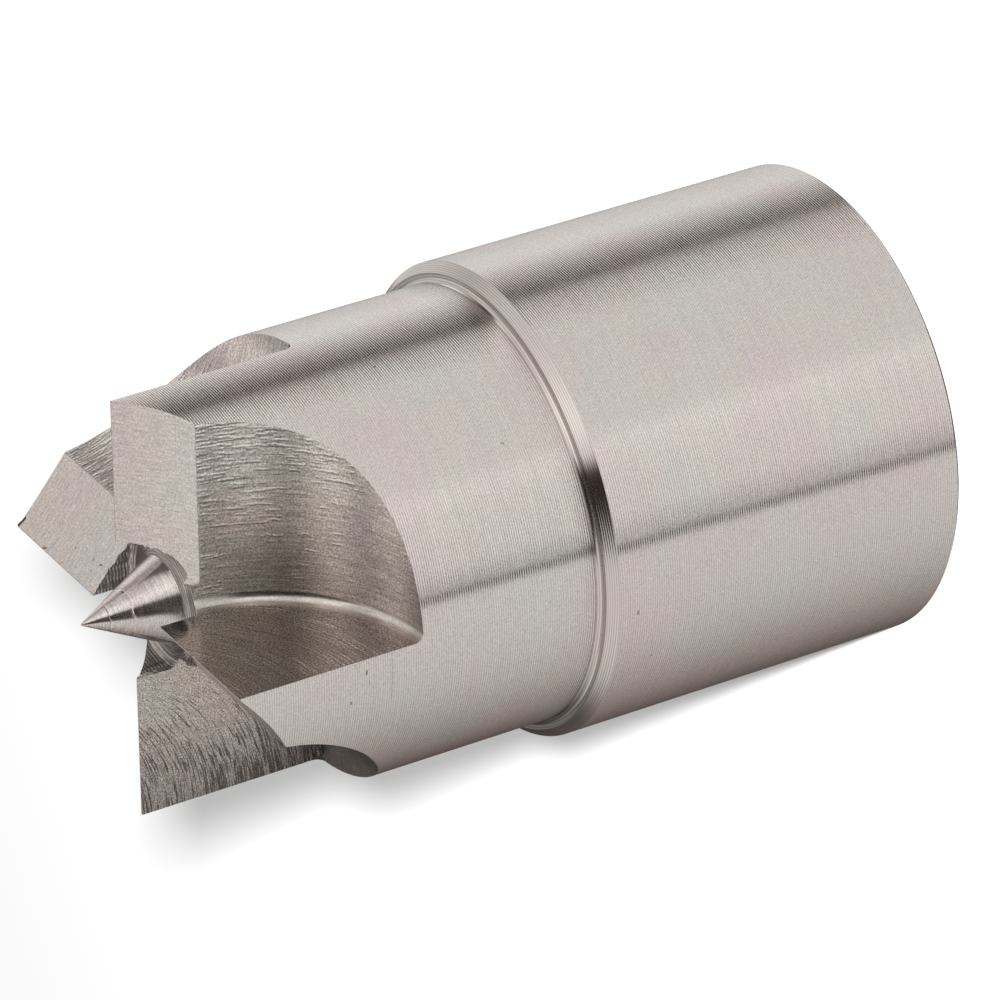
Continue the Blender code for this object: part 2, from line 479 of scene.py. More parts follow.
@dataclass
class ProngTools:
    """The end mill and the bevel cutter that make the prongs, as closed surfaces."""

    sizes: Sizes
    facets: int = 288
    corner_rings: int = 8
    bevel_rows: int = 24
    clearance: float = 4.0 * MM

    def turn(self, prong: int) -> Matrix:
        """Turns the first prong, along +X, to where this one stands."""
        return Matrix.Rotation(2.0 * math.pi * prong / self.sizes.prongs, 4, "Z")

    def mill(self, prong: int) -> bpy.types.Object:
        """The round-cornered end mill, its end face on this prong's driving face.

        Its half section runs up from the far end to the side, round the corner and in along
        the end face, turned about the mill's own axis, which then lies along the prong's +Y.

        Args:
            prong: The prong's number, from 0.

        Returns:
            The tool, in its place.
        """
        s = self.sizes
        reach = s.nose_radius - s.driving_offset + self.clearance
        corner = np.linspace(0.0, math.pi / 2.0, self.corner_rings + 1)
        inner = s.mill_radius - s.mill_corner
        radius = np.concatenate([[s.mill_radius], inner + s.mill_corner * np.cos(corner)])
        height = np.concatenate([[reach], s.mill_corner * (1.0 - np.sin(corner))])
        angles = np.arange(self.facets) * (2.0 * math.pi / self.facets)
        shape = np.ones(self.facets)
        tool = revolved(
            f"mill_{prong}", radius[:, None] * shape, height[:, None] * shape, angles, (reach, 0.0)
        )
        place = Vector((s.mill_centre_radius, s.driving_offset, s.mill_height))
        along_y = Matrix.Rotation(-math.pi / 2.0, 4, "X")
        tool.data.transform(self.turn(prong) @ Matrix.Translation(place) @ along_y)
        return tool

    def bevel(self, prong: int) -> bpy.types.Object:
        """The cutter that slopes a prong's back, lofted through rows across the bevel.

        Each row at distance y is a box section from the inner end to past the nose, and from
        the bevel's height up. The inner end is round near the foot: x = c - sqrt(r^2 - d^2).

        Args:
            prong: The prong's number, from 0.

        Returns:
            The tool, in its place.
        """
        s = self.sizes
        foot = -s.bevel_foot
        turn = np.linspace(0.0, math.pi / 2.0, self.corner_rings + 1)
        round_rows = foot + s.bevel_corner * (1.0 - np.cos(turn))
        rows = np.concatenate(
            [
                [foot - s.bevel_corner],
                round_rows,
                np.linspace(round_rows[-1], s.edge, self.bevel_rows + 1)[1:],
                [s.edge + self.clearance],
            ]
        )
        inside = np.clip((foot + s.bevel_corner - rows) / s.bevel_corner, 0.0, 1.0)
        inner = s.bevel_inner_end + s.bevel_corner * (1.0 - np.sqrt(1.0 - inside**2))
        outer = np.full(len(rows), s.nose_radius + self.clearance)
        low = s.bevel_height(rows)[0]
        high = np.full(len(rows), s.chisel + 2.0 * self.clearance)
        section = [(inner, low), (outer, low), (outer, high), (inner, high)]
        points = np.concatenate([np.stack([x, rows, z], axis=-1) for x, z in section])
        count = len(rows)
        row = np.arange(count - 1)
        faces = [[side * count for side in range(4)]]
        faces.append([side * count + count - 1 for side in (3, 2, 1, 0)])
        for side in range(4):
            this, after = side * count, (side + 1) % 4 * count
            quads = np.stack([this + row, this + row + 1, after + row + 1, after + row], axis=-1)
            faces += quads.tolist()
        tool = linked(f"bevel_{prong}", points, faces)
        tool.data.transform(self.turn(prong))
        return tool


@dataclass
class CutSurfaces:
    """The cut steel's faces and corners as arrays.

    Attributes:
        mesh: The mesh that they are read from.
        centres: Face centres.
        facing: Face normals.
        owner: The face of each corner.
        spots: Corner positions.
        region: The region of each face.
        marks: Tool-mark coordinates of each corner, in metres.
        normals: The true normal of each corner, or zeros where the mesh's own will do.
    """

    mesh: bpy.types.Mesh
    centres: Array = field(init=False)
    facing: Array = field(init=False)
    owner: Array = field(init=False)
    spots: Array = field(init=False)
    region: Array = field(init=False)
    marks: Array = field(init=False)
    normals: Array = field(init=False)

    def __post_init__(self) -> None:
        """Reads the mesh. Every face counts as turned until another tool is found for it."""
        self.centres = read(self.mesh.polygons, "center", 3)
        self.facing = read(self.mesh.polygons, "normal", 3)
        faces = len(self.centres)
        self.owner = np.repeat(np.arange(faces), read(self.mesh.polygons, "loop_total", 1, int))
        vertex = read(self.mesh.loops, "vertex_index", 1, int)
        self.spots = read(self.mesh.vertices, "co", 3)[vertex]
        self.region = np.full(faces, int(Region.TURNED))
        self.marks = np.zeros((len(vertex), 2))
        self.normals = np.zeros((len(vertex), 3))

    def write(self, smooth_angle: float) -> None:
        """Gives the mesh its regions, its tool-mark map in millimetres and its normals.

        Args:
            smooth_angle: Edges that turn by more than this stay sharp, in radians.
        """
        mesh = self.mesh
        mesh.polygons.foreach_set("material_index", self.region.astype(np.int32))
        layer = mesh.uv_layers.new(name=MARKS_MAP)
        layer.uv.foreach_set("vector", (self.marks / MM).astype(np.float32).ravel())
        mesh.shade_smooth()
        mesh.set_sharp_from_angle(angle=smooth_angle)
        given = read(mesh.corner_normals, "vector", 3)
        known = np.abs(self.normals).sum(axis=1) > 0.5
        given[known] = self.normals[known]
        mesh.normals_split_custom_set(given.tolist())


def read(items: bpy.types.bpy_prop_collection, name: str, width: int, kind: type = float) -> Array:
    """Reads one attribute of every item of a mesh collection.

    Args:
        items: The collection, such as a mesh's polygons.
        name: The attribute.
        width: How many numbers each item has.
        kind: float or int.

    Returns:
        One row for each item, or one number for each where the width is 1.
    """
    values = np.empty(len(items) * width, np.int32 if kind is int else np.float32)
    items.foreach_get(name, values)
    wide = values.astype(np.int64 if kind is int else np.float64)
    return wide.reshape(-1, width) if width > 1 else wide


@dataclass
class SteelMesh:
    """Cuts the blank with its tools, then works out each face's region, marks and normals.

    Attributes:
        sizes: The part's sizes.
        tolerance: How far off its surface a face's centre may lie.
        smooth_angle: Edges that turn by more than this stay sharp.
        level: Least upward part of the normal on the prongs' lands.
        rising: Least upward part of the normal on the point.
        upright: Largest upward part of the normal on the round sides.
        square: Least part of the normal along the prong's +Y on a driving face.
        sideways: Largest part of the normal along the prong's Y on the mill's wall.
        sloping: Least part of the normal square to the slope on a bevel.
    """

    sizes: Sizes
    tolerance: float = 0.012 * MM
    smooth_angle: float = math.radians(28.0)
    level: float = 0.99
    rising: float = 0.1
    upright: float = 0.05
    square: float = 0.999
    sideways: float = 0.01
    sloping: float = 0.96

    def cut(self, blank: bpy.types.Object, tools: list) -> None:
        """Takes the tools' shapes out of the blank and removes the tools.

        Args:
            blank: Changed here: the turned blank.
            tools: The cutting tools' objects, in the order of their cuts.
        """
        for tool in tools:
            modifier = blank.modifiers.new(tool.name, "BOOLEAN")
            modifier.operation = "DIFFERENCE"
            modifier.solver = "EXACT"
            modifier.object = tool
        graph = bpy.context.evaluated_depsgraph_get()
        whole = blank.data
        cut = bpy.data.meshes.new_from_object(blank.evaluated_get(graph))
        blank.modifiers.clear()
        blank.data = cut
        bpy.data.meshes.remove(whole)
        for tool in tools:
            mesh = tool.data
            bpy.data.objects.remove(tool)
            bpy.data.meshes.remove(mesh)
        blank.data.name = blank.name

    def in_prong(self, points: Array, prong: int) -> Array:
        """Turns points back into a prong's own frame, its chisel edge along +X.

        Args:
            points: Points or vectors, one row each.
            prong: The prong's number, from 0.

        Returns:
            The turned points.
        """
        turn = -2.0 * math.pi * prong / self.sizes.prongs
        cos, sin = math.cos(turn), math.sin(turn)
        spin = np.array([[cos, -sin, 0.0], [sin, cos, 0.0], [0.0, 0.0, 1.0]])
        return points @ spin.T

    def from_prong(self, vectors: Array, prong: int) -> Array:
        """Turns vectors from a prong's own frame back to the part's."""
        return self.in_prong(vectors, -prong)

    def dress(self, steel: bpy.types.Object) -> None:
        """Sets each face's region, each corner's tool-mark coordinates and its true normal.

        Args:
            steel: Changed here: the cut steel.
        """
        surfaces = CutSurfaces(steel.data)
        self.find_turned(surfaces)
        for prong in range(self.sizes.prongs):
            self.find_prong(prong, surfaces)
        surfaces.write(self.smooth_angle)

    def find_turned(self, surfaces: CutSurfaces) -> None:
        """Finds the recess, the point, the socket, the shoulder, the lands and the round sides.

        Args:
            surfaces: Changed here: regions, marks, and the normals of the round sides.
        """
        s = self.sizes
        region, up = surfaces.region, surfaces.facing[:, 2]
        radius = np.hypot(surfaces.centres[:, 0], surfaces.centres[:, 1])
        height = surfaces.centres[:, 2]
        region[(radius < s.nose_radius - self.tolerance) & (height > s.barrel_length)] = Region.RECESS
        above = height > s.chisel - s.point_root_depth
        on_cone = (up > self.rising) & (radius < s.point_root) & above
        region[on_cone] = Region.POINT
        mouth = s.register_radius + 0.5 * s.register_chamfer
        region[(radius < mouth) & (height < s.barrel_length)] = Region.SOCKET
        tilted = np.abs(up) > self.upright
        at_shoulder = (np.abs(height - s.barrel_length) < s.front_chamfer) & tilted
        region[at_shoulder & (radius > s.nose_radius - self.tolerance)] = Region.SHOULDER
        land = (np.abs(height - s.chisel) < self.tolerance) & (up > self.level)
        region[land & (radius > s.recess_radius)] = Region.BEVEL
        off_side = np.minimum(np.abs(radius - s.nose_radius), np.abs(radius - s.barrel_radius))
        side = (region == Region.TURNED) & (off_side < 2 * self.tolerance) & ~tilted
        round_side = side[surfaces.owner]
        outward = surfaces.spots * [1.0, 1.0, 0.0]
        length = np.linalg.norm(outward, axis=1, keepdims=True)
        surfaces.normals[round_side] = (outward / np.maximum(length, self.tolerance))[round_side]
        surfaces.marks[:] = self.turned_marks(surfaces)

    def turned_marks(self, surfaces: CutSurfaces) -> Array:
        """Tool-mark coordinates on turned faces: z - r along the profile, and the angle round it.

        The angle is kept whole in faces across the seam by adding a turn to its small values.

        Args:
            surfaces: The faces and corners.

        Returns:
            Both coordinates of each corner, in metres.
        """
        spots, owner, faces = surfaces.spots, surfaces.owner, len(surfaces.centres)
        angle = np.arctan2(spots[:, 1], spots[:, 0])
        low, high = np.full(faces, np.inf), np.full(faces, -np.inf)
        np.minimum.at(low, owner, angle)
        np.maximum.at(high, owner, angle)
        split = (high - low > math.pi)[owner] & (angle < 0.0)
        angle[split] += 2.0 * math.pi
        radius = np.hypot(spots[:, 0], spots[:, 1])
        return np.column_stack([spots[:, 2] - radius, angle * TURN_SCALE * MM])

    def find_prong(self, prong: int, surfaces: CutSurfaces) -> None:
        """Finds the faces that the mill and the bevel cutter left by one prong.

        Args:
            prong: The prong whose driving face the mill cuts. Even ones are torn.
            surfaces: Changed here: the regions, marks and normals of those faces.
        """
        s = self.sizes
        centre = self.in_prong(surfaces.centres, prong)
        normal = self.in_prong(surfaces.facing, prong)
        beside = s.mill_centre_radius - centre[:, 0]
        reach = np.hypot(beside, centre[:, 2] - s.mill_height)
        depth = centre[:, 1] - s.driving_offset
        upper = centre[:, 2] > s.mill_height - s.mill_radius - self.tolerance
        side = (np.abs(reach - s.mill_radius) < 2 * self.tolerance) & upper
        side &= np.abs(normal[:, 1]) < self.sideways
        wall = side & (depth > 0.0) & (normal[:, 0] * beside > -self.tolerance)
        plane = (np.abs(depth) < self.tolerance) & (normal[:, 1] > self.square) & (reach < s.mill_radius)
        tube = np.hypot(reach - (s.mill_radius - s.mill_corner), depth - s.mill_corner)
        corner = (np.abs(tube - s.mill_corner) < self.tolerance) & (normal[:, 1] > self.sideways)
        corner &= ~wall & ~plane & (depth > -self.tolerance) & (depth < s.mill_corner) & upper
        slope = s.bevel_height(centre[:, 1])[0]
        lean = np.array([0.0, -math.sin(s.bevel_angle), math.cos(s.bevel_angle)])
        bevel = (np.abs(centre[:, 2] - slope) < 2 * self.tolerance) & (normal @ lean > self.sloping)
        torn = prong % 2 == 0
        surfaces.region[wall] = Region.MILLED_WALL
        surfaces.region[plane] = Region.TORN_FACE if torn else Region.DRIVING_FACE
        surfaces.region[corner] = Region.TORN_FACE if torn else Region.MILLED_CORNER
        surfaces.region[bevel] = Region.BEVEL
        self.mark_milled(prong, surfaces, (wall, plane, corner), torn)
        self.mark_bevel(prong, surfaces, bevel)

    def mark_milled(self, prong: int, surfaces: CutSurfaces, found: tuple, torn: bool) -> None:
        """Sets the marks and normals where the mill cut: its side, its end and its round corner.

        Along the side and the corner the coordinates follow the mill round. On a flat face
        they are x past the mill's axis, and z. A torn face keeps them over its corner.

        Args:
            prong: The prong's number, from 0.
            surfaces: Changed here: marks and normals.
            found: The faces of the wall, the driving face and the corner, as masks.
            torn: Whether the driving face is torn.
        """
        s = self.sizes
        on_wall, on_plane, on_corner = (mask[surfaces.owner] for mask in found)
        spot = self.in_prong(surfaces.spots, prong)
        axis = np.array([s.mill_centre_radius, 0.0, s.mill_height])
        away = (spot - axis) * [1.0, 0.0, 1.0]
        span = np.hypot(away[:, 0], away[:, 2])
        inward = -away / np.maximum(span, self.tolerance)[:, None]
        around = np.arctan2(-away[:, 2], -away[:, 0]) * s.mill_radius
        past_ring = span - s.mill_radius + s.mill_corner
        rise = np.arctan2(s.mill_corner - (spot[:, 1] - s.driving_offset), past_ring)
        surfaces.marks[on_wall] = np.column_stack([spot[:, 1], around])[on_wall]
        surfaces.marks[on_corner] = np.column_stack([rise * s.mill_corner, around])[on_corner]
        across_face = on_plane | on_corner if torn else on_plane
        surfaces.marks[across_face] = np.column_stack([away[:, 0], spot[:, 2]])[across_face]
        lift = np.sin(rise)[:, None] * [0.0, 1.0, 0.0] + np.cos(rise)[:, None] * inward
        surfaces.normals[on_wall] = self.from_prong(inward, prong)[on_wall]
        surfaces.normals[on_corner] = self.from_prong(lift, prong)[on_corner]

    def mark_bevel(self, prong: int, surfaces: CutSurfaces, found: Array) -> None:
        """Sets the marks and normals of a bevel: x along it, and the distance down it.

        Each prong's distances start further on, so that no two bevels look the same.

        Args:
            prong: The prong's number, from 0.
            surfaces: Changed here: marks and normals.
            found: The bevel's faces, as a mask.
        """
        s = self.sizes
        on_bevel = found[surfaces.owner]
        spot = self.in_prong(surfaces.spots, prong)
        down = (s.edge - spot[:, 1]) / math.cos(s.bevel_angle)
        start = prong * s.nose_radius
        surfaces.marks[on_bevel] = np.column_stack([spot[:, 0], down + start])[on_bevel]
        fall = s.bevel_height(spot[:, 1])[1]
        tilt = np.stack([np.zeros_like(fall), -fall, np.ones_like(fall)], axis=-1)
        tilt /= np.linalg.norm(tilt, axis=1, keepdims=True)
        surfaces.normals[on_bevel] = self.from_prong(tilt, prong)[on_bevel]


def new_group(name: str, inputs: dict, outputs: dict) -> tuple[Tree, dict, dict]:
    """An empty node group with named sockets.

    Args:
        name: The group's name.
        inputs: Socket type by name.
        outputs: Socket type by name.

    Returns:
        The tree, and its inputs' and outputs' sockets by name.
    """
    tree = bpy.data.node_groups.new(name, "ShaderNodeTree")
    for title, kind in inputs.items():
        tree.interface.new_socket(title, in_out="INPUT", socket_type=kind)
    for title, kind in outputs.items():
        tree.interface.new_socket(title, in_out="OUTPUT", socket_type=kind)
    given = tree.nodes.new("NodeGroupInput")
    wanted = tree.nodes.new("NodeGroupOutput")
    return tree, {s.name: s for s in given.outputs}, {s.name: s for s in wanted.inputs}


def put(tree: Tree, kind: str, values: dict, **settings: object) -> bpy.types.Node:
    """Adds a node, with its settings and with its inputs given as numbers or as links.

    Args:
        tree: The node tree.
        kind: The node's type.
        values: What each input gets, by the input's name or number.
        settings: Attributes of the node.

    Returns:
        The node.
    """
    node = tree.nodes.new(kind)
    for name, value in settings.items():
        setattr(node, name, value)
    for name, value in values.items():
        if isinstance(value, bpy.types.NodeSocket):
            tree.links.new(value, node.inputs[name])
        else:
            node.inputs[name].default_value = value
    return node


def grouped(tree: Tree, group: Tree, values: dict) -> dict:
    """Uses a shared node group with these inputs and gives its outputs by name."""
    node = put(tree, "ShaderNodeGroup", values, node_tree=group)
    return {socket.name: socket for socket in node.outputs}


def math_node(
    tree: Tree, operation: str, first: Socket | float, second: Socket | float = 0.0
) -> Socket:
    """The result of a Math node on one or two values."""
    return put(tree, "ShaderNodeMath", {0: first, 1: second}, operation=operation).outputs[0]


def between(tree: Tree, value: Socket, low: float, high: float, span: tuple = (0.3, 0.7)) -> Socket:
    """Maps a value's span onto low to high, and holds it there outside the span."""
    ends = {"Value": value, "From Min": span[0], "From Max": span[1], "To Min": low, "To Max": high}
    return put(tree, "ShaderNodeMapRange", ends).outputs[0]


def vector_node(tree: Tree, operation: str, first: Socket, second: Socket | tuple) -> Socket:
    """The vector that a Vector Math node makes of two vectors."""
    return put(tree, "ShaderNodeVectorMath", {0: first, 1: second}, operation=operation).outputs[0]


def measured(tree: Tree, operation: str, first: Socket, second: Socket | tuple) -> Socket:
    """The number that a Vector Math node makes of two vectors, such as their distance."""
    node = put(tree, "ShaderNodeVectorMath", {0: first, 1: second}, operation=operation)
    return node.outputs["Value"]


def scaled(tree: Tree, vector: Socket, factor: Socket | float) -> Socket:
    """A vector or a colour times a number."""
    ends = {0: vector, "Scale": factor}
    return put(tree, "ShaderNodeVectorMath", ends, operation="SCALE").outputs[0]


def apart(tree: Tree, vector: Socket) -> bpy.types.bpy_prop_collection:
    """The three coordinates of a vector."""
    return put(tree, "ShaderNodeSeparateXYZ", {0: vector}).outputs


def joined(
    tree: Tree, first: Socket | float, second: Socket | float, third: Socket | float = 0.0
) -> Socket:
    """The vector of three coordinates."""
    return put(tree, "ShaderNodeCombineXYZ", {0: first, 1: second, 2: third}).outputs[0]


def noise(
    tree: Tree, vector: Socket, scale: float, detail: float, roughness: float = 0.5
) -> bpy.types.NodeOutputs:
    """The outputs of a Noise Texture node, Fac and Color."""
    ends = {"Vector": vector, "Scale": scale, "Detail": detail, "Roughness": roughness}
    return put(tree, "ShaderNodeTexNoise", ends).outputs


def mixed(
    tree: Tree, share: Socket | float, first: Socket, second: Socket | tuple, blend: str = "MIX"
) -> Socket:
    """Two colours mixed by a share, or blended in another way."""
    ends = {0: share, 6: first, 7: second}
    return put(tree, "ShaderNodeMix", ends, data_type="RGBA", blend_type=blend).outputs[2]


def ramp(tree: Tree, value: Socket, stops: tuple | list) -> Socket:
    """A colour ramp.

    Args:
        tree: The node tree.
        value: The place on the ramp, 0 to 1.
        stops: Pairs of place and colour, in order.

    Returns:
        The colour.
    """
    node = put(tree, "ShaderNodeValToRGB", {"Fac": value})
    elements = node.color_ramp.elements
    elements.remove(elements[1])
    for number, (place, tone) in enumerate(stops):
        stop = elements[0] if number == 0 else elements.new(place)
        stop.position = place
        stop.color = (*tone, 1.0)
    return node.outputs[0]


@dataclass
class SharedEffects:
    """Node groups that the finishes share, each built once.

    Attributes:
        drift_scale: Wavers of the feed marks to the millimetre.
        finer: How much finer the fine streaks are than the broad ones, by coordinate.
        bend_scale: Bends of the dashes to the millimetre.
        bend: How far the dashes bend, in millimetres.
        patch_scale: Rough patches to the millimetre.
        patch_level: Noise level over which a place lies in a patch.
        dash_edge: Span of the noise over which a dash fades in.
        cloud_scale: Colour clouds to the metre.
        cloud_tones: Noise level and colour of the clouds.
        speck_size: Radius of the largest speck, in cells.
    """

    drift_scale: float = 0.35
    finer: tuple = (3.7, 2.1, 2.1)
    bend_scale: float = 2.5
    bend: float = 0.12
    patch_scale: float = 0.22
    patch_level: float = 0.55
    dash_edge: float = 0.018
    cloud_scale: float = 130.0
    cloud_tones: tuple = (
        (0.34, (0.95, 1.0, 0.96)), (0.52, (1.0, 0.98, 0.93)), (0.66, (1.0, 0.94, 0.95)),
    )
    speck_size: float = 0.11
    grooves: Tree = field(init=False)
    arcs: Tree = field(init=False)
    streaks: Tree = field(init=False)
    dashes: Tree = field(init=False)
    scratch_and_shade_line: Tree = field(init=False)
    tint: Tree = field(init=False)
    pits: Tree = field(init=False)

    def __post_init__(self) -> None:
        """Builds every group."""
        self.grooves = self.build_grooves()
        self.arcs = self.build_arcs()
        self.streaks = self.build_streaks()
        self.dashes = self.build_dashes()
        self.scratch_and_shade_line = self.build_scratch_and_shade_line()
        self.tint = self.build_tint()
        self.pits = self.build_pits()

    def build_grooves(self) -> Tree:
        """Feed marks: the height |sin(pi (u / pitch + wander))| across tool-mark coordinate u.

        Returns:
            The group.
        """
        tree, given, wanted = new_group(
            "feed_marks", {"Marks": VECTOR, "Pitch": FLOAT, "Wander": FLOAT}, {"Height": FLOAT}
        )
        marks = given["Marks"]
        turns = math_node(tree, "DIVIDE", apart(tree, marks)[0], given["Pitch"])
        drift = noise(tree, marks, self.drift_scale, 1.0)["Fac"]
        moved = math_node(tree, "MULTIPLY", drift, given["Wander"])
        phase = math_node(tree, "MULTIPLY", math_node(tree, "ADD", turns, moved), math.pi)
        wave = math_node(tree, "ABSOLUTE", math_node(tree, "SINE", phase))
        tree.links.new(wave, wanted["Height"])
        return tree

    def build_arcs(self) -> Tree:
        """Bends flat marks (x, y) into a turning cutter's path: (y + sqrt(R^2 - x^2), R asin(x / R)).

        The cutter's edge sweeps an arc of its own radius, and the feed shifts the arc along y.

        Returns:
            The group.
        """
        tree, given, wanted = new_group(
            "cutter_arcs", {"Marks": VECTOR, "Radius": FLOAT}, {"Marks": VECTOR}
        )
        flat = apart(tree, given["Marks"])
        beside = math_node(tree, "DIVIDE", flat[0], given["Radius"])
        inside = math_node(tree, "MAXIMUM", math_node(tree, "MINIMUM", beside, 1.0), -1.0)
        turn = math_node(tree, "ARCSINE", inside)
        reach = math_node(tree, "MULTIPLY", math_node(tree, "COSINE", turn), given["Radius"])
        across = math_node(tree, "ADD", flat[1], reach)
        along = math_node(tree, "MULTIPLY", turn, given["Radius"])
        tree.links.new(joined(tree, across, along), wanted["Marks"])
        return tree

    def build_streaks(self) -> Tree:
        """Fine marks that run along the tool's path: noise squeezed across it, long along it.

        Round the axis the second coordinate is an angle, so it is wrapped as a circle: the
        noise reads (across u, radius cos v, radius sin v), and has no seam.

        Returns:
            The group.
        """
        tree, given, wanted = new_group(
            "tool_streaks",
            {"Marks": VECTOR, "Across": FLOAT, "Along": FLOAT, "Turned": FLOAT},
            {"Value": FLOAT, "Fine": FLOAT},
        )
        marks = apart(tree, given["Marks"])
        across = math_node(tree, "MULTIPLY", marks[0], given["Across"])
        turn = math_node(tree, "DIVIDE", marks[1], TURN_SCALE)
        plain = math_node(tree, "MULTIPLY", marks[1], given["Along"])
        circle = math_node(tree, "MULTIPLY", given["Along"], 2.0 * TURN_SCALE)
        pair = []
        for operation, straight in (("COSINE", plain), ("SINE", 0.0)):
            bent = math_node(tree, "MULTIPLY", math_node(tree, operation, turn), circle)
            ends = {0: given["Turned"], 2: straight, 3: bent}
            pair.append(put(tree, "ShaderNodeMix", ends, data_type="FLOAT").outputs[0])
        spot = joined(tree, across, *pair)
        finer = vector_node(tree, "MULTIPLY", spot, self.finer)
        tree.links.new(noise(tree, spot, 1.0, 2.0)["Fac"], wanted["Value"])
        tree.links.new(noise(tree, finer, 1.0, 3.0)["Fac"], wanted["Fine"])
        return tree

    def build_dashes(self) -> Tree:
        """Torn dashes: where noise drawn out along the marks passes a level, inside rough patches.

        A second noise as wide as a few millimetres raises the level outside the patches.

        Returns:
            The group.
        """
        tree, given, wanted = new_group(
            "torn_dashes",
            {"Marks": VECTOR, "Across": FLOAT, "Along": FLOAT, "Level": FLOAT, "Patches": FLOAT},
            {"Mask": FLOAT},
        )
        marks = given["Marks"]
        bend = scaled(tree, noise(tree, marks, self.bend_scale, 2.0)["Color"], self.bend)
        squeeze = joined(tree, given["Across"], given["Along"], 1.0)
        spot = vector_node(tree, "MULTIPLY", vector_node(tree, "ADD", marks, bend), squeeze)
        strength = noise(tree, spot, 1.0, 3.0, 0.6)["Fac"]
        rough = noise(tree, marks, self.patch_scale, 1.0)["Fac"]
        outside = math_node(tree, "SUBTRACT", self.patch_level, rough)
        lift = math_node(tree, "MAXIMUM", math_node(tree, "MULTIPLY", outside, given["Patches"]), 0.0)
        level = math_node(tree, "ADD", given["Level"], lift)
        over = math_node(tree, "SUBTRACT", strength, level)
        tree.links.new(between(tree, over, 0.0, 1.0, (0.0, self.dash_edge)), wanted["Mask"])
        return tree

    def build_scratch_and_shade_line(self) -> Tree:
        """A scratch or a patch of painted shade: 1 up to one distance from the line from start to end, 0
        past another.

        The nearest point of the line is start + share (end - start), with the share held
        between 0 and 1.

        Returns:
            The group.
        """
        tree, given, wanted = new_group(
            "scratch_and_shade_mask",
            {"Marks": VECTOR, "Start": VECTOR, "End": VECTOR, "Near": FLOAT, "Far": FLOAT},
            {"Mask": FLOAT},
        )
        line = vector_node(tree, "SUBTRACT", given["End"], given["Start"])
        reach = vector_node(tree, "SUBTRACT", given["Marks"], given["Start"])
        ends = {0: measured(tree, "DOT_PRODUCT", reach, line)}
        ends[1] = measured(tree, "DOT_PRODUCT", line, line)
        share = put(tree, "ShaderNodeMath", ends, operation="DIVIDE", use_clamp=True).outputs[0]
        distance = measured(tree, "DISTANCE", reach, scaled(tree, line, share))
        ends = {"Value": distance, "From Min": given["Near"], "From Max": given["Far"]}
        ends |= {"To Min": 1.0, "To Max": 0.0}
        mask = put(tree, "ShaderNodeMapRange", ends, interpolation_type="SMOOTHSTEP")
        tree.links.new(mask.outputs[0], wanted["Mask"])
        return tree

    def build_tint(self) -> Tree:
        """Bright steel's faint colour clouds, greenish to pinkish, over the base colour.

        Returns:
            The group.
        """
        tree, given, wanted = new_group(
            "steel_tint",
            {"Position": VECTOR, "Colour": COLOUR, "Strength": FLOAT, "Shade": FLOAT},
            {"Colour": COLOUR},
        )
        cloud = noise(tree, given["Position"], self.cloud_scale, 3.0)["Fac"]
        tones = ramp(tree, cloud, self.cloud_tones)
        tinted = mixed(tree, given["Strength"], given["Colour"], tones, "MULTIPLY")
        tree.links.new(scaled(tree, tinted, given["Shade"]), wanted["Colour"])
        return tree

    def build_pits(self) -> Tree:
        """A few small dark specks: cells whose random value is under a share, near their middle.

        Returns:
            The group.
        """
        tree, given, wanted = new_group(
            "dark_pits", {"Position": VECTOR, "Density": FLOAT, "Share": FLOAT}, {"Mask": FLOAT}
        )
        ends = {"Vector": given["Position"], "Scale": given["Density"]}
        cells = put(tree, "ShaderNodeTexVoronoi", ends).outputs
        chance = apart(tree, cells["Color"])
        chosen = math_node(tree, "LESS_THAN", chance[0], given["Share"])
        size = math_node(tree, "MULTIPLY", chance[1], self.speck_size)
        near = math_node(tree, "LESS_THAN", cells["Distance"], size)
        tree.links.new(math_node(tree, "MULTIPLY", chosen, near), wanted["Mask"])
        return tree


@dataclass(frozen=True)
class ScratchAndShade:
    """A scratch, a speck or a patch of painted shade along a short line.

    A line on the tool-mark map has two coordinates in millimetres. A line in the part's own
    frame has three in metres, and so has its width.

    Attributes:
        start: Where the line starts.
        end: Where it ends.
        half_width: How far the mark reaches beside the line.
        factor: What it multiplies the colour by.
        soft: The share of the half width over which its edge fades.
    """

    start: tuple
    end: tuple
    half_width: float
    factor: float
    soft: float = 0.15


@dataclass
class Layers:
    """One material's shading while it is put together.

    Attributes:
        tree: The material's node tree.
        effects: The shared groups.
        placed: The tool-mark map.
        marks: The same, bent to the cutter's path on a flat face.
        position: The place in the part's frame.
        shades: Factors that multiply the colour.
        heights: Heights in metres that add up to the bump.
    """

    tree: Tree
    effects: SharedEffects
    placed: Socket
    marks: Socket
    position: Socket
    shades: list = field(default_factory=list)
    heights: list = field(default_factory=list)

    def darken(self, value: Socket, low: float, high: float, span: tuple = (0.0, 1.0)) -> None:
        """Adds a factor on the colour that goes from low to high over the value's span."""
        self.shades.append(between(self.tree, value, low, high, span))

    def lift(self, value: Socket, millimetres: float) -> None:
        """Adds a height of so many millimetres times the value."""
        self.heights.append(math_node(self.tree, "MULTIPLY", value, millimetres * MM))

    def merged(self, operation: str, parts: list) -> Socket:
        """Joins the parts in turn by one operation."""
        return reduce(partial(math_node, self.tree, operation), parts)


